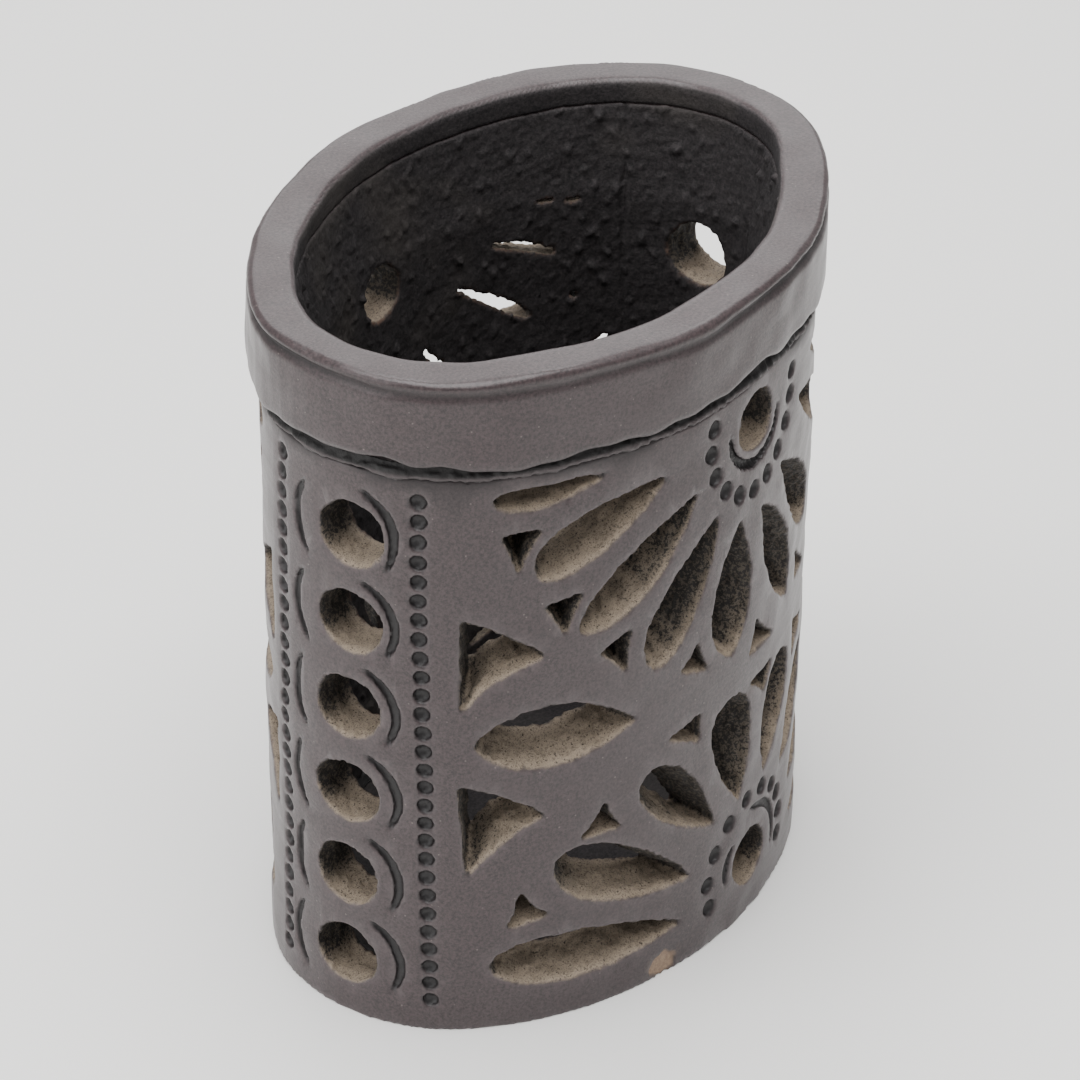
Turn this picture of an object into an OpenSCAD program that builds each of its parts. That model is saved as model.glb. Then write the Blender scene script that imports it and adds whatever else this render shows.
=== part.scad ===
// Pierced black clay pot. Four upright slabs stand round an oval floor slab, a thick band
// laps over their top edge, and the walls are cut through with flowers, leaves and holes.
// Origin: middle of the foot, on the surface it stands on. X runs along the oval, Z is up.
//
// Places on the wall are given as [u, v]: u runs round the outside of the wall from the
// middle of the left end (-X) towards the front (-Y), and v is the height. off is the
// distance outwards from the outer face of the wall.

/* [Body] */
// Length over the rim band
pot_l = 100; // [82:1:125]
// Width over the rim band
pot_w = 72.4; // [60:0.2:88]
// Height over everything
pot_h = 108; // [88:1:135]
// Radius of the two narrow ends, on the outer face of the wall
end_r = 26.3; // [22:0.1:28]
// Thickness of the four wall slabs
wall_t = 7.2; // [5.6:0.1:9]
// Thickness of the floor slab
floor_t = 4.5; // [3.5:0.1:6]
// Half the width of an end slab, measured round the wall
joint_u = 15.2; // [14.8:0.1:16]
// Radius of the clay coil smoothed into the corner of floor and wall
coil_r = 2.5; // [1.5:0.1:3.5]

/* [Rim band] */
// Height of the band's outer face
rim_h = 13.5; // [11:0.1:17]
// Width of the band's flat top
rim_t = 6.8; // [5.8:0.1:8]
// How far the band stands out past the wall
rim_out = 1.2; // [0.8:0.1:2]
// Thickness of the band above the wall's top edge
rim_cap = 4; // [3:0.1:6]
// Depth that the band's skirt is let into the wall
skirt_in = 1.8; // [1.2:0.1:2.5]
// Rounding of the band's upper edges
rim_round = 1.1; // [0.8:0.1:2]
// Height of the smeared line of slip under the band
slip_h = 2.1; // [1.5:0.1:3]
// Depth of the groove that the slip lies in
slip_in = 0.8; // [0.5:0.1:1.2]

/* [End columns] */
// Diameter of the round holes
hole_d = 10; // [8:0.1:10.6]
// Holes in each column
hole_n = 6; // [4:1:6]
// Height of the lowest hole's middle
hole_low = 10.2; // [9:0.1:12]
// Distance of the top hole's middle below the slip line
hole_top = 10.4; // [9:0.1:12]
// Radius of the stamped crescents on the holes' front side
moon_r = 7.7; // [7.3:0.1:8.2]
// How much farther out the crescents on the back side lie
far_moon = 2; // [1:0.1:2.1]
// Width of a crescent in its middle
moon_w = 1.4; // [0.8:0.1:1.6]
// Depth of a stamped crescent
moon_in = 0.7; // [0.4:0.1:1]
// Lean of the column, measured round the wall at its top and bottom holes
lean_u = 1.1; // [0:0.1:1.2]
// Distance of the dotted line on the front side from the middle of the end
front_line_u = 11.4; // [10.8:0.1:12.6]
// Distance of the dotted line on the back side from the middle of the end
back_line_u = 12.9; // [12.4:0.1:13]
// How far each dotted line's ends lie from its middle, measured round the wall
line_lean = 0.6; // [0:0.1:0.7]
// Distance between the dots of a line
line_step = 3.1; // [2.8:0.1:4]

/* [Dots] */
// Diameter of the small dots in the lines
dot_d = 2.6; // [1.6:0.1:2.7]
// Diameter of the round dots about a flower's eye
petal_dot_d = 3; // [2:0.1:3.2]
// Depth of every dot
dot_in = 0.9; // [0.5:0.1:1.2]

/* [Flowers] */
// Diameter of the round eye of each flower
eye_d = 9; // [7:0.1:10]
// Distance from the eye's middle to the ring of dots
ring_r = 10.8; // [10:0.1:12]
// Distance from the eye's middle to the notched groove
groove_r = 6.6; // [6:0.1:8]
// Width of the notched groove
groove_w = 1.5; // [1:0.1:2]
// How much a cut narrows on each side on its way through the wall
knife_slope = 2.8; // [1:0.1:3.5]

/* [Hidden] */
clay = "#3d383b";
dark_clay = "#1d1b1c";

// The oval is drawn with four arcs: two narrow ends and two long sides.
half_l = pot_l / 2 - rim_out;
half_w = pot_w / 2 - rim_out;
end_x = half_l - end_r;
side_r = (pow(end_x, 2) + pow(half_w, 2) - pow(end_r, 2)) / (2 * (half_w - end_r));
side_y = side_r - half_w;
turn_end = atan2(side_y, end_x);
end_u = end_r * turn_end * PI / 180;
side_len = side_r * (180 - 2 * turn_end) * PI / 180;
half_loop = 2 * end_u + side_len;

// Heights
wall_top = pot_h - rim_cap;
rim_low = pot_h - rim_h;
slip_low = rim_low - slip_h;

// Facets of one end slab and of one side slab
end_steps = 12;
side_steps = 36;
// A cut starts and stops this far outside the wall.
over = 0.8;
// The flower design was laid out on a face of this width and height.
design_w = 101.8;
design_h = 92.4;
face_mid = half_loop / 2;
scale_u = (half_loop - 2 * joint_u) / design_w;
// The lower eyes stay this high, 1 mm clear of the floor, and the rest stretches above them
lower_eye = [3, 10];
lower_eye_v = floor_t + 1 + eye_d / 2;
scale_v = (slip_low - lower_eye_v) / (design_h - lower_eye.y);

function span(a, b, n) = [for (i = [0:n - 1]) a + (b - a) * i / n];
function reversed(list) = [for (i = [len(list) - 1:-1:0]) list[i]];

end_us = concat(span(-joint_u, joint_u, end_steps), [joint_u]);
front_us = concat(span(joint_u, half_loop - joint_u, side_steps), [half_loop - joint_u]);
half_us = concat(span(-joint_u, joint_u, end_steps),
    span(joint_u, half_loop - joint_u, side_steps));
loop_us = concat(half_us, [for (u = half_us) u + half_loop]);

// u brought into the half loop on each side of the left end
function wrapped(u) = u - 2 * half_loop * floor((u + half_loop) / (2 * half_loop));
// Direction of the wall's outward normal, counted from -X
function turn(m) = m < end_u ? m / end_r * 180 / PI
    : m < end_u + side_len ? turn_end + (m - end_u) / side_r * 180 / PI
    : 180 - turn_end + (m - end_u - side_len) / end_r * 180 / PI;
function arc_r(m) = m < end_u || m >= end_u + side_len ? end_r : side_r;
function arc_mid(m) = m < end_u ? [-end_x, 0] : m < end_u + side_len ? [0, side_y] : [end_x, 0];
function side_of(u) = wrapped(u) < 0 ? -1 : 1;
function normal(u) = let(a = turn(abs(wrapped(u)))) [-cos(a), -sin(a) * side_of(u)];
function flat_point(u, off) = let(m = abs(wrapped(u)), a = turn(m), c = arc_mid(m),
    r = arc_r(m) + off) [c.x - r * cos(a), (c.y - r * sin(a)) * side_of(u)];
function wall_point(p, off) = let(q = flat_point(p.x, off)) [q.x, q.y, p.y];

// A place on the front face, measured from the middle of the face, in design units
function face(p) = [face_mid + p.x * scale_u, lower_eye_v + (p.y - lower_eye.y) * scale_v];
function polar(r, a) = [r * cos(a), r * sin(a)];

// A point of one edge of a cut from a to b, s of the way along, bowed sideways by h. A low
// value of blunt rounds the end at b, and 1 gives both ends the same point.
function bow(s, blunt) = s * pow(1 - s, blunt) * (1 + blunt) / pow(blunt / (1 + blunt), blunt);
function edge_point(a, b, s, h, blunt, least) = let(d = (b - a) / norm(b - a),
    w = h < 0 ? min(h * bow(s, blunt), -least) : max(h * bow(s, blunt), least))
    a + (b - a) * s + [-d.y, d.x] * w;
function eased(n) = [for (i = [0:n]) (1 - cos(180 * i / n)) / 2];

// Stations of a cut: each is [left, right]
function petal(a, b, left, right, blunt) = [for (s = eased(9))
    [edge_point(a, b, s, left, blunt, 0.1), edge_point(a, b, s, -right, blunt, 0.1)]];
// A three-cornered cut that widens from a to the side between b and c. The edges to b and c
// are bowed outwards by out_b and out_c, or inwards where these are negative.
function corner(a, b, c, out_b, out_c) = cross(c - a, b - a) < 0 ? corner(a, c, b, out_c, out_b)
    : [for (i = [0:4]) let(s = max(i / 4, 0.02))
        [edge_point(a, b, s, out_b, 1, 0), edge_point(a, c, s, -out_c, 1, 0)]];
function arc_groove(mid, r, w, a0, a1) = [for (i = [0:10]) let(a = a0 + (a1 - a0) * i / 10,
    h = w / 2 * max(sqrt(sin(180 * i / 10)), 0.12)) [mid + polar(r - h, a), mid + polar(r + h, a)]];

// The same stations at the bottom of the cut: narrower by slope on each side, and drawn in
// a little at both ends
function sloped(cut, slope) = let(n = len(cut) - 1, from = (cut[0][0] + cut[0][1]) / 2,
    to = (cut[n][0] + cut[n][1]) / 2, mid = (from + to) / 2,
    pull = max(0.4, 1 - 1.5 * slope / norm(to - from)))
    [for (c = cut) let(w = norm(c[1] - c[0]), k = min(0.42, slope / w))
        [mid + (c[0] + (c[1] - c[0]) * k - mid) * pull, mid + (c[1] + (c[0] - c[1]) * k - mid) * pull]];

// Solid cutter that follows the curve of the wall
module cutter(cut, depth, slope) {
    low = sloped(cut, slope);
    grow = over / depth;
    points = [for (i = [0:len(cut) - 1]) for (p = [
        wall_point(cut[i][0] + (cut[i][0] - low[i][0]) * grow, over),
        wall_point(cut[i][1] + (cut[i][1] - low[i][1]) * grow, over),
        wall_point(low[i][1], -depth), wall_point(low[i][0], -depth)]) p];
    last = 4 * (len(cut) - 1);
    sides = [for (i = [0:len(cut) - 2]) for (k = [0:3]) let(a = 4 * i + k, b = 4 * i + (k + 1) % 4)
        for (f = [[a, a + 4, b + 4], [a, b + 4, b]]) f];
    polyhedron(points, concat(sides, [[0, 1, 2], [0, 2, 3],
        [last + 3, last + 2, last + 1], [last + 3, last + 1, last]]));
}

module knife_cut(cut) {
    cutter(cut, wall_t + over, knife_slope);
}

module face_cut(cut) {
    knife_cut([for (c = cut) [face(c[0]), face(c[1])]]);
}

// Turns a child from +Z to the wall's outward normal at [u, v].
module at_wall(p) {
    n = normal(p.x);
    translate(wall_point(p, 0)) rotate([0, 90, atan2(n.y, n.x)]) children();
}

module round_hole(p, d) {
    at_wall(p) translate([0, 0, -wall_t - coil_r - over])
        cylinder(h = wall_t + coil_r + 2 * over, d = d, $fn = 48);
}

// Pit left by a round-ended stick
module dot(p, d) {
    r = (pow(d / 2, 2) + pow(dot_in, 2)) / (2 * dot_in);
    at_wall(p) translate([0, 0, r - dot_in]) sphere(r = r, $fn = 14);
}

// Upright slab of wall along the stations us, between two offsets and two heights
module wall_slab(us, out, inner, low, high) {
    translate([0, 0, low]) linear_extrude(high - low)
        polygon(concat([for (u = us) flat_point(u, out)],
            [for (u = reversed(us)) flat_point(u, inner)]));
}

// Closed ring round the oval with the section profile, a list of [off, z] points
module ring(profile) {
    n = len(profile);
    m = len(loop_us);
    points = [for (u = loop_us) for (p = profile) wall_point([u, p.y], p.x)];
    faces = [for (i = [0:m - 1]) for (k = [0:n - 1])
        let(i2 = (i + 1) % m, k2 = (k + 1) % n)
        [i * n + k, i * n + k2, i2 * n + k2, i2 * n + k]];
    polyhedron(points, faces);
}

// Quarter round of an edge: centre [off, z], radius, first and last angle
function rounding(c, r, a0, a1, n) = [for (i = [0:n]) c + polar(r, a0 + (a1 - a0) * i / n)];

// Everything further out than off, between two heights, all round the oval
module outer_rebate(off, low, high) {
    translate([0, 0, low]) linear_extrude(high - low) difference() {
        polygon([for (u = loop_us) flat_point(u, 3)]);
        polygon([for (u = loop_us) flat_point(u, off)]);
    }
}

// Slab with the groove for the slip, the step for the band and a thinned upper inner edge
module grooved_slab(us) {
    thin_low = wall_top - 14;
    thin_off = rim_out - rim_t;
    lean = (thin_off + wall_t) / (wall_top - thin_low);
    difference() {
        wall_slab(us, 0, -wall_t, 0, wall_top);
        outer_rebate(-slip_in, slip_low, rim_low + 0.5);
        outer_rebate(-skirt_in, rim_low, wall_top + 1);
        if (lean > 0)
            ring([[-wall_t - lean, thin_low - 1], [thin_off + lean, wall_top + 1],
                [-wall_t - 3, wall_top + 1], [-wall_t - 3, thin_low - 1]]);
    }
}

// One column of holes with crescents and two dotted lines, on the left end. They were cut by
// eye: the column leans by lean_u at each end, and the lines draw together by line_lean.
module column_cuts() {
    top = slip_low - hole_top;
    for (i = [0:hole_n - 1]) {
        along = i / (hole_n - 1);
        middle = [lean_u * (2 * along - 1), hole_low + (top - hole_low) * along];
        round_hole(middle, hole_d);
        cutter(arc_groove([0, middle[1]], moon_r, moon_w, -46, 78), moon_in, 0.2);
        cutter(arc_groove(middle, moon_r + far_moon, moon_w, 142, 226), moon_in, 0.2);
    }
    first = hole_low - 5;
    dots = floor((slip_low - 3.4 - first) / line_step);
    for (i = [0:dots]) {
        lean = line_lean * (2 * i / dots - 1);
        dot([front_line_u - lean, first + i * line_step], dot_d);
        dot([lean - back_line_u, first + i * line_step], dot_d);
    }
}

// Lower flower: eye, two grooves, a fan of dots and eight petals
module lower_flower() {
    eye = face(lower_eye);
    round_hole(eye, eye_d);
    cutter(arc_groove(eye, groove_r, groove_w, 132, 192), moon_in, 0.2);
    cutter(arc_groove(eye, groove_r + 1.4, groove_w, -28, 96), moon_in, 0.2);
    fan = [198, 174, 148, 122, 96, 70, 48, 28, 6, -16];
    for (a = fan) dot(eye + polar(ring_r, a), petal_dot_d);
    face_cut(petal([-13, 7.5], [-45.5, 11.5], 4, 4.6, 0.5));
    face_cut(petal([-11.5, 15], [-35.5, 27.5], 5.2, 4.2, 0.5));
    face_cut(petal([-6.5, 21.5], [-21.5, 37], 4, 4, 0.5));
    face_cut(petal([-0.5, 22], [-4.5, 42], 4.8, 5.4, 0.4));
    face_cut(petal([7, 22.5], [13, 41], 4.8, 4.6, 0.4));
    face_cut(petal([13.5, 19.5], [27.5, 33.5], 4.2, 4.2, 0.5));
    face_cut(petal([18, 13.5], [38.5, 24.5], 4, 4, 0.5));
    face_cut(petal([19.5, 6.5], [46, 11.5], 4, 4, 0.5));
}

// Upper flower: eye, notched groove, a ring of dots and ten petals
upper_eye = [0.5, 86];
module upper_flower() {
    eye = face(upper_eye);
    round_hole(eye, eye_d);
    cutter(arc_groove(eye, groove_r, groove_w, 158, 372), dot_in, 0.2);
    for (i = [0:10]) dot(eye + polar(ring_r, 162 + 21 * i), petal_dot_d);
    face_cut(petal([-28, 89.8], [-45.2, 89], 2.6, 1, 0.4));
    face_cut(petal([-18.5, 86], [-38.7, 75.8], 3, 4.9, 0.45));
    face_cut(petal([-13, 81], [-32.2, 65], 4.3, 3.5, 0.6));
    face_cut(petal([-8.7, 75.5], [-20, 54.5], 3.5, 4.8, 0.5));
    face_cut(petal([-3.7, 72], [-4.2, 49.5], 3.6, 5.4, 0.7));
    face_cut(petal([2, 71.5], [14, 49.3], 4.7, 3.7, 0.8));
    face_cut(petal([8.5, 75], [25.5, 57], 3.8, 4.2, 0.5));
    face_cut(petal([14.5, 82], [35, 70], 3.6, 3.4, 0.5));
    face_cut(petal([20, 86.5], [40, 80.5], 2.6, 2.6, 0.5));
    face_cut(petal([27, 90.3], [45.5, 89.4], 1.6, 1.4, 0.5));
}

// Pointed leaf with a spandrel above and below, beside each end slab
module side_leaf(side) {
    tip = side < 0 ? [-23, 47.5] : [27.5, 42];
    end = side < 0 ? [-47.8, 49.6] : [47.5, 44.5];
    up = side < 0 ? 5.8 : 4.4;
    down = side < 0 ? 4.8 : 4.4;
    face_cut(side < 0 ? petal(tip, end, down, up, 0.75) : petal(tip, end, up, down, 0.75));
    face_cut(corner([side * 37.2, 62.5], [side * 49.3, 70.6], [side * 49.6, 55], 0.8, -1.6));
    face_cut(corner([side * 37, 36], [side * 50, 43], [side * 48.8, 27], 0.8, -1.2));
}

// Small three-cornered cuts that fill the gaps between the petals' ends
module fillers() {
    upper = [
        [[-41.5, 76.3], [-44.2, 83.4], [-38, 83.6]],
        [[-34.7, 65], [-38, 71], [-31.6, 72]],
        [[-24.6, 55], [-29.4, 60.6], [-24, 63.4]],
        [[-11.7, 56], [-15.5, 52], [-9, 49.6]],
        [[1.6, 52.8], [0.4, 46.8], [8.8, 46.6]],
        [[18.4, 54.4], [19.2, 48.4], [28, 46.6]],
        [[33.5, 56.5], [31, 63.5], [37, 62.5]],
        [[41.5, 69.5], [37.6, 75], [44.5, 75.5]],
    ];
    lower = [
        [[-41, 24], [-43.2, 17.6], [-36.4, 18.8]],
        [[-28, 35.6], [-32.2, 30], [-25, 29.8]],
        [[-19.2, 41.8], [-10.8, 43.4], [-10.8, 38]],
        [[0.4, 42], [8.2, 42.6], [5.8, 38]],
        [[19, 41.8], [18.6, 35.6], [28, 38]],
        [[34, 33.6], [32.4, 28], [38.4, 29.4]],
        [[41.6, 24], [44.6, 18.4], [39.6, 19.6]],
    ];
    for (t = concat(upper, lower)) face_cut(corner(t[0], t[1], t[2], -0.4, -0.4));
}

module face_cuts() {
    upper_flower();
    lower_flower();
    side_leaf(-1);
    side_leaf(1);
    fillers();
}

module left_end_wall() {
    color(clay) difference() {
        grooved_slab(end_us);
        column_cuts();
    }
}

module right_end_wall() {
    mirror([1, 0, 0]) left_end_wall();
}

module front_wall() {
    color(clay) difference() {
        grooved_slab(front_us);
        face_cuts();
    }
}

module back_wall() {
    mirror([0, 1, 0]) front_wall();
}

module floor_slab() {
    color(clay) linear_extrude(floor_t)
        polygon([for (u = loop_us) flat_point(u, -wall_t)]);
}

// The coil is cut by the lowest holes, as the wall is.
module floor_seam_coil() {
    section = concat([[-wall_t, floor_t]],
        rounding([-wall_t - coil_r, floor_t + coil_r], coil_r, -90, 0, 4));
    color(dark_clay) difference() {
        ring(section);
        for (flip = [0, 1]) mirror([flip, 0, 0]) round_hole([-lean_u, hole_low], hole_d);
        for (flip = [0, 1]) mirror([0, flip, 0]) round_hole(face(lower_eye), eye_d);
    }
}

// The lip stands out at the bottom of its groove and leaves a dark gap under the band.
module rim_slip_bead() {
    lip = 0.35;
    color(dark_clay) ring([[-slip_in, slip_low], [0.1, slip_low],
        [lip, slip_low + slip_h * 0.25], [0.1, slip_low + slip_h * 0.5],
        [-slip_in + 0.3, slip_low + slip_h * 0.7], [-slip_in + 0.3, rim_low],
        [-slip_in, rim_low]]);
}

module rim_band() {
    r = rim_round;
    thin_off = rim_out - rim_t;
    color(clay) ring(concat(
        [[-skirt_in, rim_low]],
        rounding([rim_out - 0.9, rim_low + 0.9], 0.9, -90, 0, 2),
        rounding([rim_out - r, pot_h - r], r, 0, 90, 3),
        rounding([thin_off + r, pot_h - r], r, 90, 180, 3),
        [[thin_off, wall_top], [-skirt_in, wall_top]]));
}

floor_slab();
floor_seam_coil();
front_wall();
back_wall();
left_end_wall();
right_end_wall();
rim_slip_bead();
rim_band();
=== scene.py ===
import math

import bmesh
import bpy
import numpy as np
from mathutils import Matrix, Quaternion, Vector
from mathutils.bvhtree import BVHTree


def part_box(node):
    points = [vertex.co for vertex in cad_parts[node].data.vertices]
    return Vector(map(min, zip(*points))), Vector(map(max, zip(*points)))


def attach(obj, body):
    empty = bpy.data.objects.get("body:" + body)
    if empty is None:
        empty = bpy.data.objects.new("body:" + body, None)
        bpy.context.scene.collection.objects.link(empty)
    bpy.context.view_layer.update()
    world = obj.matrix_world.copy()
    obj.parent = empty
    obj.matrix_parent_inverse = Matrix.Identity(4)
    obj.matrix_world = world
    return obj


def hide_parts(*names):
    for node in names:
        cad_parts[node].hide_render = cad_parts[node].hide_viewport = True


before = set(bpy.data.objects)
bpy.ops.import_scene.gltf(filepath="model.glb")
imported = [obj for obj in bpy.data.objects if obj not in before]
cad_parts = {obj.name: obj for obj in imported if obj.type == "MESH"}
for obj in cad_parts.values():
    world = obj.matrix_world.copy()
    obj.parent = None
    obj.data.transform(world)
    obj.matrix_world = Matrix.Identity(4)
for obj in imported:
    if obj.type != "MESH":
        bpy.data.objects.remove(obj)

bl_info = {
    "name": "Pierced black clay pot",
    "version": (1, 0, 0),
    "blender": (4, 5, 0),
    "location": "3D View > Sidebar > Clay pot",
    "description": "Builds the looks of a hand-built, burnished and pierced black clay pot",
    "category": "Add Mesh",
}

MM = 0.001
WALLS = ("front_wall", "back_wall", "left_end_wall", "right_end_wall")
# Heights on the wall: the foot's edge, and the line of slip where the open wall ends
FOOT_EDGE = 1.0 * MM
WALL_TOP = 91.9 * MM
# The chip in the foot's edge: its middle round the wall and above the floor, its half sizes
# and its depth
CHIP_U, CHIP_V = 48.7 * MM, 1.7 * MM
CHIP_HALF_U, CHIP_HALF_V = 2.6 * MM, 1.7 * MM
CHIP_DEPTH = 0.3 * MM
# Shade is painted on the wall from here up, under the slip and the rim band
SHADE_LOW = 91.6 * MM
# Notches round a whole notched groove, 1.1 mm apart, and their depth
NOTCHES = 38
NOTCH_DEPTH = 0.22 * MM
# Depth of the cracks inside, where the slabs were joined
CRACK_DEPTH = 0.4 * MM
# Ways in which light from above is looked for: their rise, and their turn from straight out of the
# wall
SKY_RISES = (48, 68, 86)
SKY_TURNS = (-70, 0, 70)
# How far a way has to be clear of clay for that light to come in by it
SKY_REACH = 60 * MM


def linear(hex_colour):
    """An sRGB hex colour as linear RGBA."""
    values = [int(hex_colour[i:i + 2], 16) / 255 for i in (1, 3, 5)]
    return (*[v / 12.92 if v <= 0.04045 else ((v + 0.055) / 1.055) ** 2.4 for v in values], 1.0)


def length(name, description, millimetres):
    return bpy.props.FloatProperty(
        name=name, description=description, default=millimetres * MM, unit="LENGTH", precision=5)


def colour(name, description, hex_colour):
    return bpy.props.FloatVectorProperty(
        name=name, description=description, default=linear(hex_colour), size=4, subtype="COLOR",
        min=0.0, max=1.0)


class PotShapeSettings(bpy.types.PropertyGroup):
    end_r: length("End radius", "Radius of the two narrow ends, on the wall's outer face", 26.3)
    rim_out: length("Rim overhang", "How far the rim band stands out past the wall", 1.2)
    wall_t: length("Wall thickness", "Thickness of the wall slabs", 7.2)
    joint_u: length("Half end slab", "Half the width of an end slab, measured round the wall", 15.2)
    wall_grain: length("Wall grain", "Cell size of the walls' clay mesh", 0.36)
    rim_grain: length("Rim grain", "Cell size of the rim band's clay mesh", 0.42)
    slow_wobble: length("Slow wobble", "Height of the long waves left by hand building", 0.14)
    quick_wobble: length("Quick wobble", "Height of the short waves left by the knife", 0.05)
    torn: length("Torn clay", "Roughness of the faces that the knife tore open", 0.15)
    grit: length("Grit", "Height of the grains inside, where no burnishing reached", 0.27)
    stamp: length("Stamp", "How much deeper the stick marks go in their middles", 0.3)
    eye_v: length("Upper eye", "Height of the upper flower's eye above the foot", 86)
    groove_r: length("Notched groove", "Radius of the notched groove round that eye", 6.6)
    most_triangles: bpy.props.IntProperty(
        name="Most triangles", description="Triangles of the four walls together", default=480000)


class PotColourSettings(bpy.types.PropertyGroup):
    burnished: colour("Burnished clay", "Outside, rubbed with quartz before firing", "#4a3d3e")
    shade: colour("Burnished shade", "Darker grain of the rubbed skin", "#1a1415")
    # The cut clay in two copies that painted light mixes: raw_lit is painted light where light from
    # above reaches the cuts, raw_shade is painted shade where it does not or they look down
    raw_lit: colour("Raw clay", "Dusty faces cut by the knife, where they look up", "#9a8b79")
    raw_shade: colour("Raw shade", "Smoked faces cut by the knife, where they look down", "#1d1a18")
    inside: colour("Inside", "Unrubbed inside, blackened by smoke", "#322d2e")
    # Near black: painted shade in the stick marks and grooves, laid on more the deeper they go, and
    # used for the painted shade under the rim band
    pit: colour("Pits", "Stick marks and grooves, pressed while the clay was wet", "#0e0c0d")
    core: colour("Clay core", "Brown core of the clay, where an edge is chipped or torn", "#5d4638")


class PotStageSettings(bpy.types.PropertyGroup):
    azimuth: bpy.props.FloatProperty(
        name="Azimuth", description="Way the camera looks, 0 along +Y",
        default=math.radians(-57.39), subtype="ANGLE")
    elevation: bpy.props.FloatProperty(
        name="Elevation", description="Camera's height over the floor, as an angle",
        default=math.radians(33.2), subtype="ANGLE")
    roll: bpy.props.FloatProperty(
        name="Roll", description="Camera's turn about its own line of sight",
        default=math.radians(0.565), subtype="ANGLE")
    distance: length("Distance", "From the camera to the middle of the pot", 650)
    lens: bpy.props.FloatProperty(
        name="Lens", description="Focal length on a 36 mm sensor", default=150.4, unit="CAMERA")


class Oval:
    """The wall's outer outline, drawn with four arcs, worked out from the rim band's box."""

    def __init__(self, shape):
        low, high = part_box("rim_band")
        self.end_r = shape.end_r
        half_l = (high[0] - low[0]) / 2 - shape.rim_out
        half_w = (high[1] - low[1]) / 2 - shape.rim_out
        self.end_x = half_l - self.end_r
        self.side_r = ((self.end_x ** 2 + half_w ** 2 - self.end_r ** 2)
                       / (2 * (half_w - self.end_r)))
        self.side_y = self.side_r - half_w
        self.turn = math.atan2(self.side_y, self.end_x)
        self.end_u = self.end_r * self.turn
        self.half_loop = 2 * self.end_u + self.side_r * (math.pi - 2 * self.turn)

    def along(self, points):
        """u round the wall from the left end, distance outside the wall, and outward normals."""
        x, y = np.abs(points[:, 0]), np.abs(points[:, 1])
        on_end = self.end_x * (y + self.side_y) < self.side_y * x
        away = np.where(on_end[:, None], np.c_[x - self.end_x, y], np.c_[x, y + self.side_y])
        far = np.linalg.norm(away, axis=1)
        off = far - np.where(on_end, self.end_r, self.side_r)
        angle = np.arctan2(away[:, 1], away[:, 0])
        u = np.where(on_end, self.end_r * angle, self.end_u + self.side_r * (angle - self.turn))
        u = np.where(points[:, 0] > 0, self.half_loop - u, u)
        signs = np.where(points[:, :2] < 0, -1.0, 1.0)
        return np.where(points[:, 1] > 0, -u, u), off, away / far[:, None] * signs

    def joint(self, u, right, back):
        """A point on a slab joint and the direction round the wall there, away from the end."""
        angle = u / self.end_r
        point = Vector((-self.end_x - self.end_r * math.cos(angle),
                        -self.end_r * math.sin(angle), 0))
        round_wall = Vector((math.sin(angle), -math.cos(angle), 0))
        flip = Vector((-1 if right else 1, -1 if back else 1, 1))
        return point * flip, round_wall * flip


def waves(points, wavelength, count, seed):
    """A smooth random field of about unit height, made of count plane waves."""
    random = np.random.default_rng(seed)
    directions = random.normal(size=(count, 3))
    directions /= np.linalg.norm(directions, axis=1)[:, None]
    turns = 2 * math.pi / (wavelength * random.uniform(0.7, 1.4, count))
    phases = random.uniform(0, 2 * math.pi, count)
    field = np.zeros(len(points))
    for direction, turn, phase in zip(directions, turns, phases):
        field += np.sin(points @ (direction * turn) + phase)
    return field * math.sqrt(2 / count)


def ramp(values, low, high):
    """0 below low and 1 above high, with a smooth rise between them."""
    t = np.clip((values - low) / (high - low), 0, 1)
    return t * t * (3 - 2 * t)


def read_points(mesh):
    found = np.empty(len(mesh.vertices) * 3, np.float32)
    mesh.vertices.foreach_get("co", found)
    return found.reshape(-1, 3).astype(np.float64)


def read_normals(mesh):
    found = np.empty(len(mesh.vertices) * 3, np.float32)
    mesh.vertices.foreach_get("normal", found)
    return found.reshape(-1, 3).astype(np.float64)


def write_points(mesh, points):
    """Puts the mesh's vertices at these points, and none of them under the ground."""
    points[:, 2] = np.maximum(points[:, 2], 0)
    mesh.vertices.foreach_set("co", points.astype(np.float32).ravel())
    mesh.update()


def write_mask(mesh, name, values):
    mask = mesh.attributes.new(name, "FLOAT", "POINT")
    mask.data.foreach_set("value", np.clip(values, 0, 1).astype(np.float32))


def read_edges(mesh):
    found = np.empty(len(mesh.edges) * 2, np.int32)
    mesh.edges.foreach_get("vertices", found)
    return found.reshape(-1, 2)


def neighbour_mean(values, edges):
    """Each vertex's mean of its neighbours' values, which are numbers or points."""
    if values.ndim == 2:
        return np.stack([neighbour_mean(column, edges) for column in values.T], axis=1)
    count = len(values)
    start, end = edges.T
    near = np.bincount(start, minlength=count) + np.bincount(end, minlength=count)
    total = np.bincount(start, values[end], count) + np.bincount(end, values[start], count)
    return total / np.maximum(near, 1)


def softened(mask, edges):
    """The mask, halfway to its neighbours' mean."""
    return (mask + neighbour_mean(mask, edges)) / 2


def spread_within(start, allowed, edges, steps):
    """Grows the start mask over the allowed vertices, one edge at each step."""
    found = start.copy()
    for _ in range(steps):
        touched = np.zeros(len(found), bool)
        touched[edges[found[edges[:, 0]], 1]] = True
        touched[edges[found[edges[:, 1]], 0]] = True
        grown = found | (touched & allowed)
        if (grown == found).all():
            break
        found = grown
    return found


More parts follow.
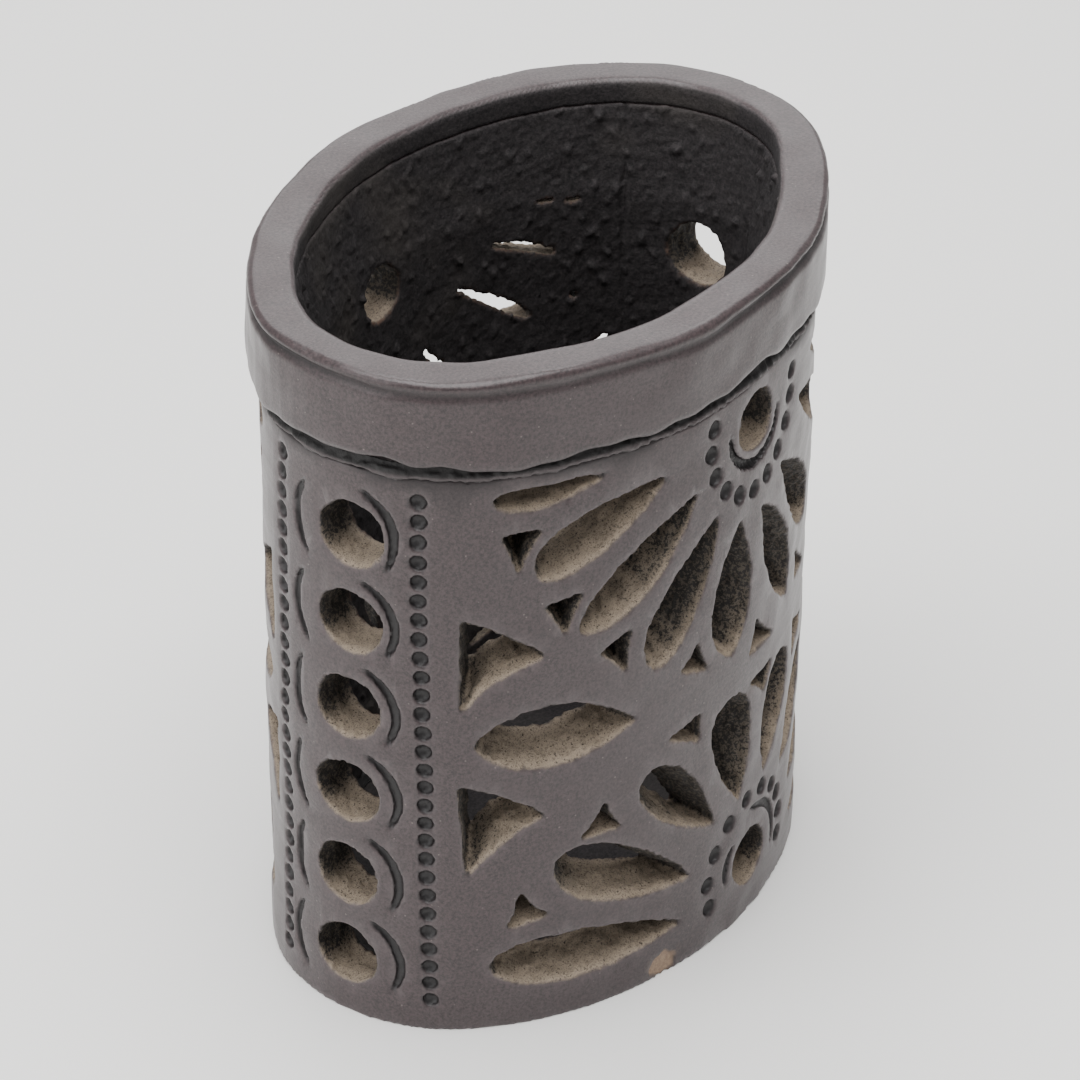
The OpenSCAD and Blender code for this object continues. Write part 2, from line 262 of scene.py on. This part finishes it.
def clay_lump(name, nodes, grain, smoothing, joints=()):
    """One closed skin over copies of the CAD nodes, remeshed in even cells and softened.
    The faces on the joints between them are taken out first, so that no crack is left."""
    bm = bmesh.new()
    for node in nodes:
        bm.from_mesh(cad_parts[node].data)
    bmesh.ops.remove_doubles(bm, verts=bm.verts, dist=0.001 * MM)
    inner = [f for f in bm.faces for point, direction in joints
             if abs(f.normal.dot(direction)) > 0.99
             and abs((f.calc_center_median() - point).dot(direction)) < 0.02 * MM]
    bmesh.ops.delete(bm, geom=list(set(inner)), context="FACES")
    bmesh.ops.remove_doubles(bm, verts=bm.verts, dist=0.004 * MM)
    rough = bpy.data.meshes.new(name + "_rough")
    bm.to_mesh(rough)
    bm.free()
    lump = bpy.data.objects.new(name + "_rough", rough)
    bpy.context.scene.collection.objects.link(lump)
    remesh = lump.modifiers.new("cells", "REMESH")
    remesh.mode = "VOXEL"
    remesh.voxel_size = grain * 1
    soften = lump.modifiers.new("soften", "SMOOTH")
    soften.factor = 0.5
    soften.iterations = smoothing
    return modified(lump)


def modified(lump):
    """The lump's mesh with its modifiers applied. The lump is removed."""
    graph = bpy.context.evaluated_depsgraph_get()
    mesh = bpy.data.meshes.new_from_object(lump.evaluated_get(graph))
    old = lump.data
    bpy.data.objects.remove(lump)
    bpy.data.meshes.remove(old)
    return mesh


def thinned(mesh, triangles):
    """The mesh with about this many triangles, kept where the shape needs them."""
    lump = bpy.data.objects.new("thinning", mesh)
    bpy.context.scene.collection.objects.link(lump)
    now = sum(len(p.vertices) - 2 for p in mesh.polygons)
    if now > triangles:
        lump.modifiers.new("thin", "DECIMATE").ratio = triangles / now
    return modified(lump)


def shade_smooth(mesh):
    mesh.polygons.foreach_set("use_smooth", [True] * len(mesh.polygons))


def show(mesh, material, node):
    """Makes the mesh a finished piece, which rides on the pot and stands for its CAD node."""
    name = node + "_clay"
    mesh.name = name
    mesh.materials.clear()
    mesh.materials.append(material)
    piece = bpy.data.objects.new(name, mesh)
    bpy.context.scene.collection.objects.link(piece)
    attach(piece, "root")
    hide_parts(node)


def open_to_sky(mesh, points, normals, outward, wanted):
    """How much light from above and outside reaches each wanted vertex, from 0 to 1: painted on the
    cut faces as light and shade.
    """
    tree = BVHTree.FromPolygons([tuple(point) for point in points],
                                [tuple(face.vertices) for face in mesh.polygons])
    found = np.zeros(len(points))
    ways = []
    for rise in map(math.radians, SKY_RISES):
        for turn in map(math.radians, SKY_TURNS):
            ways.append((math.cos(rise) * math.cos(turn), math.cos(rise) * math.sin(turn),
                         math.sin(rise)))
    for i in np.nonzero(wanted)[0]:
        normal, out = Vector(normals[i]), outward[i]
        start = Vector(points[i]) + normal * 0.3 * MM
        total = 0.0
        for ahead, aside, up in ways:
            way = Vector((ahead * out[0] - aside * out[1], ahead * out[1] + aside * out[0], up))
            facing = normal.dot(way)
            if facing > 0.05 and tree.ray_cast(start, way, SKY_REACH)[0] is None:
                total += facing
        found[i] = total / (0.7 * len(ways))
    return np.clip(found, 0, 1)


def hand_wobble(points, shape):
    """How far each point is moved by uneven hand building: the same for every piece, so that
    pieces still meet."""
    move = np.stack([shape.slow_wobble * waves(points, 34 * MM, 10, 11 + axis)
                     + shape.quick_wobble * waves(points, 7 * MM, 18, 31 + axis)
                     for axis in range(3)], axis=1)
    move[:, 2] *= ramp(points[:, 2], 0.0, 4 * MM)
    return move


def shape_walls(mesh, oval, shape):
    """Moves the wall mesh's vertices as hands, knife and grit did, and writes its masks."""
    points, normals, edges = read_points(mesh), read_normals(mesh), read_edges(mesh)
    u, off, outward = oval.along(points)
    v = points[:, 2]
    facing = (normals[:, :2] * outward).sum(axis=1)
    masks = wall_masks(mesh, shape, points, normals, edges, u, off, outward, facing)
    for name, mask in masks.items():
        write_mask(mesh, name, mask)
    cut, inside, pit = masks["cut"], masks["inside"], masks["pit"]

    torn = 0.5 * waves(points, 1.3 * MM, 24, 51) + 0.6 * waves(points, 3.4 * MM, 16, 52)
    grain = np.maximum(waves(points, 2.2 * MM, 28, 61) - 0.9, 0)
    grain = grain + 0.2 * waves(points, 1.1 * MM, 24, 62)
    # The grooves round the upper eyes were pressed with a notched stick
    around = np.abs(u) - oval.half_loop / 2, v - shape.eye_v
    notched = 1 - ramp(np.abs(np.hypot(*around) - shape.groove_r), 1.0 * MM, 1.5 * MM)
    notches = np.sin(np.arctan2(around[1], around[0]) * NOTCHES) * notched * pit
    # Inside, a crack is left where the slabs were joined
    joint = np.minimum(np.abs(np.abs(u) - shape.joint_u),
                       np.abs(oval.half_loop - np.abs(u) - shape.joint_u))
    joint = np.abs(joint + 0.4 * MM * waves(points, 11 * MM, 10, 72))
    crack = (1 - ramp(joint, 0.1 * MM, 0.7 * MM)) * inside * (off < -5.2 * MM)
    move = (shape.torn * torn * cut + shape.grit * grain * inside
            - CHIP_DEPTH * masks["chip"] - shape.stamp * ramp(pit, 0.5, 1.0)
            - NOTCH_DEPTH * notches - CRACK_DEPTH * crack)
    write_points(mesh, points + hand_wobble(points, shape) + normals * move[:, None])


def wall_masks(mesh, shape, points, normals, edges, u, off, outward, facing):
    """Where the walls are cut, unrubbed inside, pressed and chipped, and where light and shade are
    painted: a highlight with some wear on standing edges, light and shade on the cuts, shade under
    the slip.
    """
    v = points[:, 2]
    wall = (v > FOOT_EDGE) & (v < WALL_TOP)
    # Knife cuts: faces across the wall in the middle of its thickness, grown to their edges
    deep = (wall & (off < -1.7 * MM) & (off > -shape.wall_t + 1.2 * MM)
            & (np.abs(facing) < 0.75))
    side = wall & (np.abs(facing) < 0.7) & (off < 0.02 * MM)
    cut = spread_within(deep, side, edges, 9).astype(float)
    inside = (facing < -0.6).astype(float)
    # Stick marks: the mask grows with depth below the skin, and darkens them towards near black as
    # painted shade
    pit = ramp(-off, 0.06 * MM, 0.32 * MM) * (cut < 0.5) * (facing > 0.0) * wall
    # Edges that stand out past their surroundings are painted lighter: partly wear, partly a
    # painted highlight
    standing = ((points - neighbour_mean(points, edges)) * normals).sum(axis=1)
    wear_and_highlight = ramp(standing, 0.012 * MM, 0.05 * MM) * (off > -1.5 * MM)
    cut, inside, pit, wear_and_highlight = [softened(mask, edges) for mask in (cut, inside, pit, wear_and_highlight)]
    # Painted light and shade on the cut faces: lighter where light from above and outside reaches
    # them and where they look up, darker where the wall hides them
    painted_sky_light = open_to_sky(mesh, points, normals, outward, cut > 0.1)
    painted_sky_light = np.maximum(ramp(painted_sky_light, 0.1, 1.0), 0.85 * ramp(normals[:, 2], 0.4, 0.95))
    chip = 1.1 - np.hypot((u - CHIP_U) / CHIP_HALF_U, (v - CHIP_V) / CHIP_HALF_V)
    chip = chip + 0.12 * waves(points, 1.6 * MM, 12, 71)
    chip = ramp(chip, 0.0, 0.3) * (facing > 0.2) * (off > -1.5 * MM)
    # Painted shade on the outer wall just under the slip and the rim band, with an uneven lower
    # edge
    shade_edge = SHADE_LOW + 0.7 * MM * waves(np.c_[u, u * 0, u * 0], 14 * MM, 12, 73)
    painted_shade = 0.7 * ramp(v - shade_edge, -0.6 * MM, 0.6 * MM) * (facing > 0.2) * (v < 94 * MM)
    return {"cut": cut, "inside": inside, "pit": pit, "wear_and_highlight": wear_and_highlight,
            "painted_sky_light": softened(painted_sky_light, edges), "chip": chip, "painted_shade": painted_shade}


def cut_slab(mesh, sides):
    """The part of the wall mesh behind every plane of sides, closed where it was cut. A
    plane is (point, direction), and what lies ahead of it is taken away."""
    bm = bmesh.new()
    bm.from_mesh(mesh)
    for point, direction in sides:
        geom = bm.verts[:] + bm.edges[:] + bm.faces[:]
        cut = bmesh.ops.bisect_plane(bm, geom=geom, dist=0.0005 * MM, plane_co=point,
                                     plane_no=direction, clear_outer=True)
        loop = [e for e in cut["geom_cut"] if isinstance(e, bmesh.types.BMEdge) and e.is_boundary]
        cap = bmesh.ops.triangle_fill(bm, edges=loop, normal=direction, use_beauty=True)
        for face in [f for f in cap["geom"] if isinstance(f, bmesh.types.BMFace)]:
            face.smooth = False
            if face.normal.dot(direction) < 0:
                face.normal_flip()
        for edge in loop:
            edge.smooth = False
    slab = bpy.data.meshes.new("slab")
    bm.to_mesh(slab)
    bm.free()
    return slab


def add(tree, kind, settings=None, inputs=None):
    """A new shader node with its settings, and its inputs set to values or linked to sockets."""
    node = tree.nodes.new(kind)
    for name, value in (settings or {}).items():
        setattr(node, name, value)
    for name, value in (inputs or {}).items():
        if isinstance(value, bpy.types.NodeSocket):
            tree.links.new(value, node.inputs[name])
        else:
            node.inputs[name].default_value = value
    return node


def new_material(name):
    material = bpy.data.materials.new(name)
    material.use_nodes = True
    tree = material.node_tree
    tree.nodes.clear()
    return material, tree


def burnished_clay():
    """Barro negro, a black earthenware: leather-hard clay rubbed with quartz until it shines
    like graphite, then smoke fired. Where the knife or a stick broke the rubbed skin it stays
    matte: taupe on the cuts, black inside. Light and shade are painted in as well: light on the
    cuts where light from above reaches them and shade where it does not, near-black shade in the
    stick marks that deepens with their depth, shade under the rim band's top edge and under the
    slip, and a highlight, with some wear, on edges that stand out."""
    colours = bpy.context.scene.pot_colours
    material, tree = new_material("burnished_barro_negro")
    place = add(tree, "ShaderNodeTexCoord").outputs["Object"]
    sockets = {}
    for name in ("cut", "inside", "pit", "wear_and_highlight", "painted_sky_light", "chip", "painted_shade"):
        mask = add(tree, "ShaderNodeAttribute", {"attribute_name": name})
        sockets[name] = mask.outputs["Fac"]

    # Noise patterns: the millimetres from lump to lump, detail, roughness and stretch
    for name, size, detail, roughness, stretch in (
            # Clouding of the smoke over the burnished skin
            ("cloud", 18, 3, 0.5, (1, 1, 1)),
            # Marks of the rubbing stone: 1.2 mm apart, and much longer round the pot
            ("rubbed", 6, 3, 0.6, (0.35, 0.35, 5)),
            # The clay's own grain, which still shows through the rubbed skin
            ("grain", 0.45, 3, 0.75, (1, 1, 1)),
            # Grains of sand, and lumps of them, in the raw clay
            ("sand", 0.5, 3, 0.75, (1, 1, 1)),
            ("coarse", 1.6, 3, 0.6, (1, 1, 1)),
            # Patches in which there are flecks, and patches of dust on the inside
            ("loose", 3, 2, 0.5, (1, 1, 1)),
            ("patch", 20, 2, 0.5, (1, 1, 1))):
        spread = add(tree, "ShaderNodeMapping", inputs={"Vector": place, "Scale": stretch})
        noise = add(tree, "ShaderNodeTexNoise", inputs={
            "Vector": spread.outputs[0], "Scale": 1 / (size * MM), "Detail": detail,
            "Roughness": roughness})
        sockets[name] = noise.outputs["Fac"]
    # Pale flecks of mica and dust, each about 0.25 mm
    cells = add(tree, "ShaderNodeTexVoronoi", inputs={"Vector": place, "Scale": 1 / (1.6 * MM)})
    sockets["speck"] = cells.outputs["Distance"]

    # Masks read off the patterns: 0 at the first level of the pattern and 1 at the second
    for name, pattern, low, high in (
            ("grained", "grain", 0.34, 0.66), ("sandy", "sand", 0.33, 0.67),
            ("dark_sand", "sand", 0.53, 0.68), ("dusty_patch", "patch", 0.56, 0.98),
            ("torn", "coarse", 0.43, 0.5), ("fleck", "speck", 0.1, 0.06),
            ("fleck_patch", "loose", 0.49, 0.51)):
        level = add(tree, "ShaderNodeMapRange", inputs={0: sockets[pattern], 1: low, 2: high})
        sockets[name] = level.outputs[0]

    # Sums, products and the greater of two; heights are in millimetres
    for name, operation, first, second in (
            # Share of the lit copy of the cut clay: painted light, broken up by sand
            ("sandy_sky_light", "ADD", "painted_sky_light", "sandy"), ("lit_share", "SUBTRACT", "sandy_sky_light", 0.5),
            ("torn_inside", "MULTIPLY", "torn", "inside"),
            ("torn_edge", "MULTIPLY", "torn_inside", "cut"),
            ("flecks", "MULTIPLY", "fleck", "fleck_patch"),
            ("broken", "MAXIMUM", "cut", "chip"), ("matte", "MAXIMUM", "broken", "inside"),
            # Burnished skin is 0.27 to 0.42 rough, stick marks a little more, torn clay matte
            ("rubbed_rough", "MULTIPLY", "rubbed", 0.15),
            ("skin_rough", "ADD", "rubbed_rough", 0.27),
            ("pit_rough", "MULTIPLY", "pit", 0.08), ("painted_shade_rough", "MULTIPLY", "painted_shade", 0.3),
            ("matte_rough", "MULTIPLY", "matte", 0.5),
            ("marked_rough", "ADD", "skin_rough", "pit_rough"),
            ("shaded_rough", "ADD", "marked_rough", "painted_shade_rough"),
            ("broken_rough", "ADD", "shaded_rough", "matte_rough"),
            ("rough", "MINIMUM", "broken_rough", 1.0),
            # Rubbing marks stand 0.02 and grain 0.035
            ("rubbed_height", "MULTIPLY", "rubbed", 0.02),
            ("grain_height", "MULTIPLY", "grain", 0.035),
            ("skin_height", "ADD", "rubbed_height", "grain_height"),
            # Sand stands 0.1 and its lumps 0.18, where the clay is not rubbed
            ("sand_height", "MULTIPLY", "sand", 0.1), ("lump_height", "MULTIPLY", "coarse", 0.18),
            ("raw_height", "ADD", "sand_height", "lump_height"),
            ("pit_raw", "MULTIPLY", "pit", 0.6), ("unrubbed", "MAXIMUM", "matte", "pit_raw"),
            ("broken_height", "MULTIPLY", "raw_height", "unrubbed"),
            ("height", "ADD", "skin_height", "broken_height")):
        maths = add(tree, "ShaderNodeMath", {"operation": operation},
                    {0: sockets[first], 1: sockets.get(second, second)})
        sockets[name] = maths.outputs[0]

    # Colours: each is the one under it, with the one over it laid on by so much of a mask
    tones = {name: getattr(colours, name)
             for name in ("burnished", "shade", "raw_lit", "raw_shade", "inside", "pit", "core")}
    for name, under, over, mask, most in (
            ("skin", "shade", "burnished", "grained", 1.0),
            ("skin", "skin", "#2f2627", "rubbed", 0.3), ("skin", "skin", "#43383a", "cloud", 0.35),
            # Edges that stand out are lightened: a painted highlight, partly wear
            ("skin", "skin", "#948a84", "flecks", 0.3), ("skin", "skin", "#6d6263", "wear_and_highlight", 0.5),
            # Painted shade under the rim band's top edge and under the slip, in the near-black pit
            # colour
            ("skin", "skin", "pit", "painted_shade", 0.95),
            # Cut faces: painted light where open to light from above, painted shade where hidden
            # from it
            ("knifed", "raw_shade", "raw_lit", "lit_share", 1.0),
            ("knifed", "knifed", "#2a2420", "dark_sand", 1.0),
            ("hidden", "#121011", "inside", "sandy", 1.0),
            ("hidden", "hidden", "#4a443e", "dusty_patch", 1.0),
            # Stick marks take the near-black pit colour, painted shade
            ("pressed", "pit", "#262223", "sand", 1.0),
            ("chipped", "core", "#b09a84", "sand", 1.0),
            ("surface", "skin", "knifed", "cut", 1.0),
            ("surface", "surface", "hidden", "inside", 1.0),
            ("surface", "surface", "core", "torn_edge", 1.0),
            ("surface", "surface", "pressed", "pit", 1.0),
            ("surface", "surface", "chipped", "chip", 1.0)):
        for tone in (under, over):
            if tone.startswith("#"):
                tones[tone] = linear(tone)
        share = add(tree, "ShaderNodeMath", {"operation": "MULTIPLY"},
                    {0: sockets[mask], 1: most})
        laid = add(tree, "ShaderNodeMix", {"data_type": "RGBA"},
                   {0: share.outputs[0], 6: tones[under], 7: tones[over]})
        tones[name] = laid.outputs[2]

    bump = add(tree, "ShaderNodeBump", inputs={"Height": sockets["height"], "Distance": MM})
    shader = add(tree, "ShaderNodeBsdfPrincipled", inputs={
        "Base Color": tones["surface"], "Roughness": sockets["rough"],
        "Normal": bump.outputs[0], "IOR": 1.5})
    add(tree, "ShaderNodeOutputMaterial", inputs={"Surface": shader.outputs[0]})
    return material


def smeared_slip():
    """Clay slip pushed into the seam with a stick and left unrubbed: black, lumpy and a little
    shiny in its hollows, and greyer on the lip where it was wiped off."""
    material, tree = new_material("smeared_clay_slip")
    place = add(tree, "ShaderNodeTexCoord").outputs["Object"]
    lip = add(tree, "ShaderNodeAttribute", {"attribute_name": "lip"}).outputs["Fac"]
    # Lumps of the slip, 0.9 mm apart and 0.2 mm high
    lumps = add(tree, "ShaderNodeTexNoise", inputs={
        "Vector": place, "Scale": 1 / (0.9 * MM), "Detail": 4.0, "Roughness": 0.7}).outputs["Fac"]
    hollow = add(tree, "ShaderNodeMix", {"data_type": "RGBA"},
                 {0: lumps, 6: linear("#0d0c0c"), 7: linear("#211e1e")})
    tint = add(tree, "ShaderNodeMix", {"data_type": "RGBA"},
               {0: lip, 6: hollow.outputs[2], 7: linear("#473f40")})
    bump = add(tree, "ShaderNodeBump", inputs={"Height": lumps, "Distance": 0.2 * MM})
    shader = add(tree, "ShaderNodeBsdfPrincipled", inputs={
        "Base Color": tint.outputs[2], "Normal": bump.outputs[0], "IOR": 1.45,
        "Roughness": 0.55})
    add(tree, "ShaderNodeOutputMaterial", inputs={"Surface": shader.outputs[0]})
    return material


def once(name, make):
    """The material of this name, made when it is first asked for."""
    return bpy.data.materials.get(name) or make()


class POT_OT_walls(bpy.types.Operator):
    """Builds the four wall slabs from one skin, so that no seam shows outside"""
    bl_idname = "pot.walls"
    bl_label = "Walls"

    def execute(self, context):
        shape = context.scene.pot_shape
        oval = Oval(shape)
        joints = {(right, back): oval.joint(shape.joint_u, right, back)
                  for right in (False, True) for back in (False, True)}
        mesh = clay_lump("walls", WALLS, shape.wall_grain, 1, joints.values())
        shape_walls(mesh, oval, shape)
        mesh = thinned(mesh, shape.most_triangles)
        shade_smooth(mesh)
        material = once("burnished_barro_negro", burnished_clay)
        middle = Vector((0, 0, 0))
        slabs = {
            "front_wall": ((middle, Vector((0, 1, 0))), (False, False), (True, False)),
            "back_wall": ((middle, Vector((0, -1, 0))), (False, True), (True, True)),
            "left_end_wall": ((middle, Vector((1, 0, 0))), (False, False), (False, True)),
            "right_end_wall": ((middle, Vector((-1, 0, 0))), (True, False), (True, True)),
        }
        for name, (half, *ends) in slabs.items():
            keep_end = name.endswith("end_wall")
            sides = [half]
            for end in ends:
                point, direction = joints[end]
                sides.append((point, direction if keep_end else -direction))
            show(cut_slab(mesh, sides), material, name)
        bpy.data.meshes.remove(mesh)
        return {"FINISHED"}


class POT_OT_floor(bpy.types.Operator):
    """Builds the floor slab and the coil smoothed into its corner"""
    bl_idname = "pot.floor"
    bl_label = "Floor"

    def execute(self, context):
        shape = context.scene.pot_shape
        self.slab(shape)
        self.coil(shape)
        return {"FINISHED"}

    def slab(self, shape):
        mesh = clay_lump("floor", ("floor_slab",), shape.rim_grain * 1.4, 2)
        points, normals = read_points(mesh), read_normals(mesh)
        top = ramp(points[:, 2], 3.5 * MM, 4.3 * MM)
        write_mask(mesh, "inside", top)
        lumps = np.maximum(waves(points, 3 * MM, 28, 63) - 0.8, 0) * shape.grit * top
        # Its edge is luted into the walls
        luted = 0.45 * MM * (np.hypot(normals[:, 0], normals[:, 1]) > 0.35)
        points += hand_wobble(points, shape) + normals * lumps[:, None]
        points[:, :2] += normals[:, :2] * luted[:, None]
        write_points(mesh, points)
        shade_smooth(mesh)
        show(mesh, once("burnished_barro_negro", burnished_clay), "floor_slab")

    def coil(self, shape):
        mesh = clay_lump("coil", ("floor_seam_coil",), shape.rim_grain, 2)
        points, normals = read_points(mesh), read_normals(mesh)
        points += hand_wobble(points, shape)
        points += normals * (0.25 * MM * waves(points, 5 * MM, 20, 64))[:, None]
        write_points(mesh, points)
        shade_smooth(mesh)
        show(mesh, once("smeared_clay_slip", smeared_slip), "floor_seam_coil")


class POT_OT_rim(bpy.types.Operator):
    """Builds the thick rim band and the ragged line of slip under it"""
    bl_idname = "pot.rim"
    bl_label = "Rim"

    def execute(self, context):
        shape = context.scene.pot_shape
        oval = Oval(shape)
        self.band(shape, oval)
        self.slip(shape, oval)
        return {"FINISHED"}

    def band(self, shape, oval):
        mesh = clay_lump("band", ("rim_band",), shape.rim_grain, 2)
        points, normals = read_points(mesh), read_normals(mesh)
        u, off, outward = oval.along(points)
        facing = (normals[:, :2] * outward).sum(axis=1)
        low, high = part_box("rim_band")
        v = points[:, 2]
        rings = np.c_[u, np.zeros(len(u)), np.zeros(len(u))]
        write_mask(mesh, "inside", np.maximum(ramp(-normals[:, 2], 0.5, 0.9),
                                              ramp(-facing, 0.6, 0.9)))
        # A hollow runs under the band's top edge, where the last coil wasn't rubbed in, and shade
        # is painted into it
        middle = high[2] - 1.8 * MM + 0.25 * MM * waves(rings, 30 * MM, 8, 86)
        strength = 0.35 + 0.65 * ramp(waves(rings, 55 * MM, 8, 87), -1.0, 0.6)
        hollow = np.exp(-((v - middle) / (0.62 * MM)) ** 2) * strength * (facing > 0.25)
        write_mask(mesh, "painted_shade", hollow)
        # Its lower edge sags unevenly over the slip
        sag = 0.3 * MM * waves(rings, 42 * MM, 8, 81) + 0.22 * MM * waves(rings, 8 * MM, 10, 82)
        skirt = ramp(low[2] + 4 * MM - v, 0, 4 * MM) * (off > -2.2 * MM)
        dents = 0.09 * MM * waves(points, 16 * MM, 16, 83) - 0.95 * MM * hollow
        points += hand_wobble(points, shape) + normals * (dents * (facing > 0.2))[:, None]
        points[:, 2] += sag * skirt
        write_points(mesh, points)
        shade_smooth(mesh)
        show(mesh, once("burnished_barro_negro", burnished_clay), "rim_band")

    def slip(self, shape, oval):
        mesh = clay_lump("bead", ("rim_slip_bead",), 0.3 * MM, 1)
        points, normals = read_points(mesh), read_normals(mesh)
        off = oval.along(points)[1]
        points += hand_wobble(points, shape)
        # Its lower edge was wiped off along the wall
        wiped = ramp(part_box("rim_slip_bead")[0][2] + 1.0 * MM - points[:, 2], 0, 0.4 * MM)
        write_mask(mesh, "lip", ramp(off, 0.0, 0.3 * MM) * wiped)
        rag = 0.13 * MM * waves(points, 6 * MM, 24, 84)
        rag = rag + 0.07 * MM * waves(points, 1.3 * MM, 24, 85)
        points += normals * (rag * ramp(off, -0.7 * MM, 0.0))[:, None]
        write_points(mesh, points)
        shade_smooth(mesh)
        show(mesh, once("smeared_clay_slip", smeared_slip), "rim_slip_bead")


class POT_OT_stage(bpy.types.Operator):
    """Sets up the pale floor, the soft studio light and the camera"""
    bl_idname = "pot.stage"
    bl_label = "Stage"

    def execute(self, context):
        stage = context.scene.pot_stage
        # A floor of 6 m, wide enough to fill the view
        bm = bmesh.new()
        bmesh.ops.create_grid(bm, x_segments=1, y_segments=1, size=3.0)
        ground_mesh = bpy.data.meshes.new("pale_floor")
        bm.to_mesh(ground_mesh)
        bm.free()
        ground = bpy.data.objects.new("pale_floor", ground_mesh)
        context.scene.collection.objects.link(ground)
        # Matte white paper, which scatters the light evenly
        paper, tree = new_material("white_paper_sweep")
        shader = add(tree, "ShaderNodeBsdfPrincipled", inputs={
            "Base Color": linear("#f4f3f1"), "Roughness": 0.9})
        add(tree, "ShaderNodeOutputMaterial", inputs={"Surface": shader.outputs[0]})
        ground_mesh.materials.append(paper)

        world = bpy.data.worlds.new("white_surroundings")
        world.use_nodes = True
        background = world.node_tree.nodes["Background"]
        background.inputs["Color"].default_value = (1, 1, 1, 1)
        background.inputs["Strength"].default_value = 0.6
        context.scene.world = world

        target = Vector((0, 0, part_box("rim_band")[1][2] / 2))
        # Each lamp's place in metres, the side of its square in metres, and its watts
        lamps = (("overhead_softbox", (-0.1, 0.0, 0.9), 0.8, 13.0),
                 ("back_softbox", (0.62, 0.4, 0.55), 0.7, 3.2),
                 ("side_softbox", (-0.75, 0.35, 0.4), 0.6, 3.0))
        for name, place, size, watts in lamps:
            light = bpy.data.lights.new(name, "AREA")
            light.shape = "SQUARE"
            light.size = size
            light.energy = watts
            lamp = bpy.data.objects.new(name, light)
            lamp.location = place
            lamp.rotation_euler = (target - Vector(place)).to_track_quat("-Z", "Y").to_euler()
            context.scene.collection.objects.link(lamp)

        lens = bpy.data.cameras.new("camera")
        lens.lens = stage.lens
        lens.sensor_width = 36
        lens.clip_start = 0.01
        camera = bpy.data.objects.new("camera", lens)
        way = Vector((math.sin(stage.azimuth) * math.cos(stage.elevation),
                      -math.cos(stage.azimuth) * math.cos(stage.elevation),
                      math.sin(stage.elevation)))
        camera.location = target + way * stage.distance
        aim = (-way).to_track_quat("-Z", "Y") @ Quaternion((0, 0, 1), stage.roll)
        camera.rotation_euler = aim.to_euler()
        context.scene.collection.objects.link(camera)
        context.scene.camera = camera
        return {"FINISHED"}


class POT_PT_panel(bpy.types.Panel):
    """Lists the pot's operators and settings"""
    bl_idname = "POT_PT_panel"
    bl_label = "Clay pot"
    bl_space_type = "VIEW_3D"
    bl_region_type = "UI"
    bl_category = "Clay pot"

    def draw(self, context):
        for operator in OPERATORS:
            self.layout.operator(operator.bl_idname)
        for group in ("pot_shape", "pot_colours", "pot_stage"):
            settings = getattr(context.scene, group)
            box = self.layout.box()
            for name in settings.__annotations__:
                box.prop(settings, name)


OPERATORS = (POT_OT_walls, POT_OT_floor, POT_OT_rim, POT_OT_stage)
CLASSES = (PotShapeSettings, PotColourSettings, PotStageSettings, *OPERATORS, POT_PT_panel)


def register():
    for cls in CLASSES:
        bpy.utils.register_class(cls)
    bpy.types.Scene.pot_shape = bpy.props.PointerProperty(type=PotShapeSettings)
    bpy.types.Scene.pot_colours = bpy.props.PointerProperty(type=PotColourSettings)
    bpy.types.Scene.pot_stage = bpy.props.PointerProperty(type=PotStageSettings)


def unregister():
    del bpy.types.Scene.pot_stage
    del bpy.types.Scene.pot_colours
    del bpy.types.Scene.pot_shape
    for cls in reversed(CLASSES):
        bpy.utils.unregister_class(cls)


def main():
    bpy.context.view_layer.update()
    register()
    bpy.ops.pot.walls()
    bpy.ops.pot.floor()
    bpy.ops.pot.rim()
    bpy.ops.pot.stage()


if __name__ == "__main__":
    main()
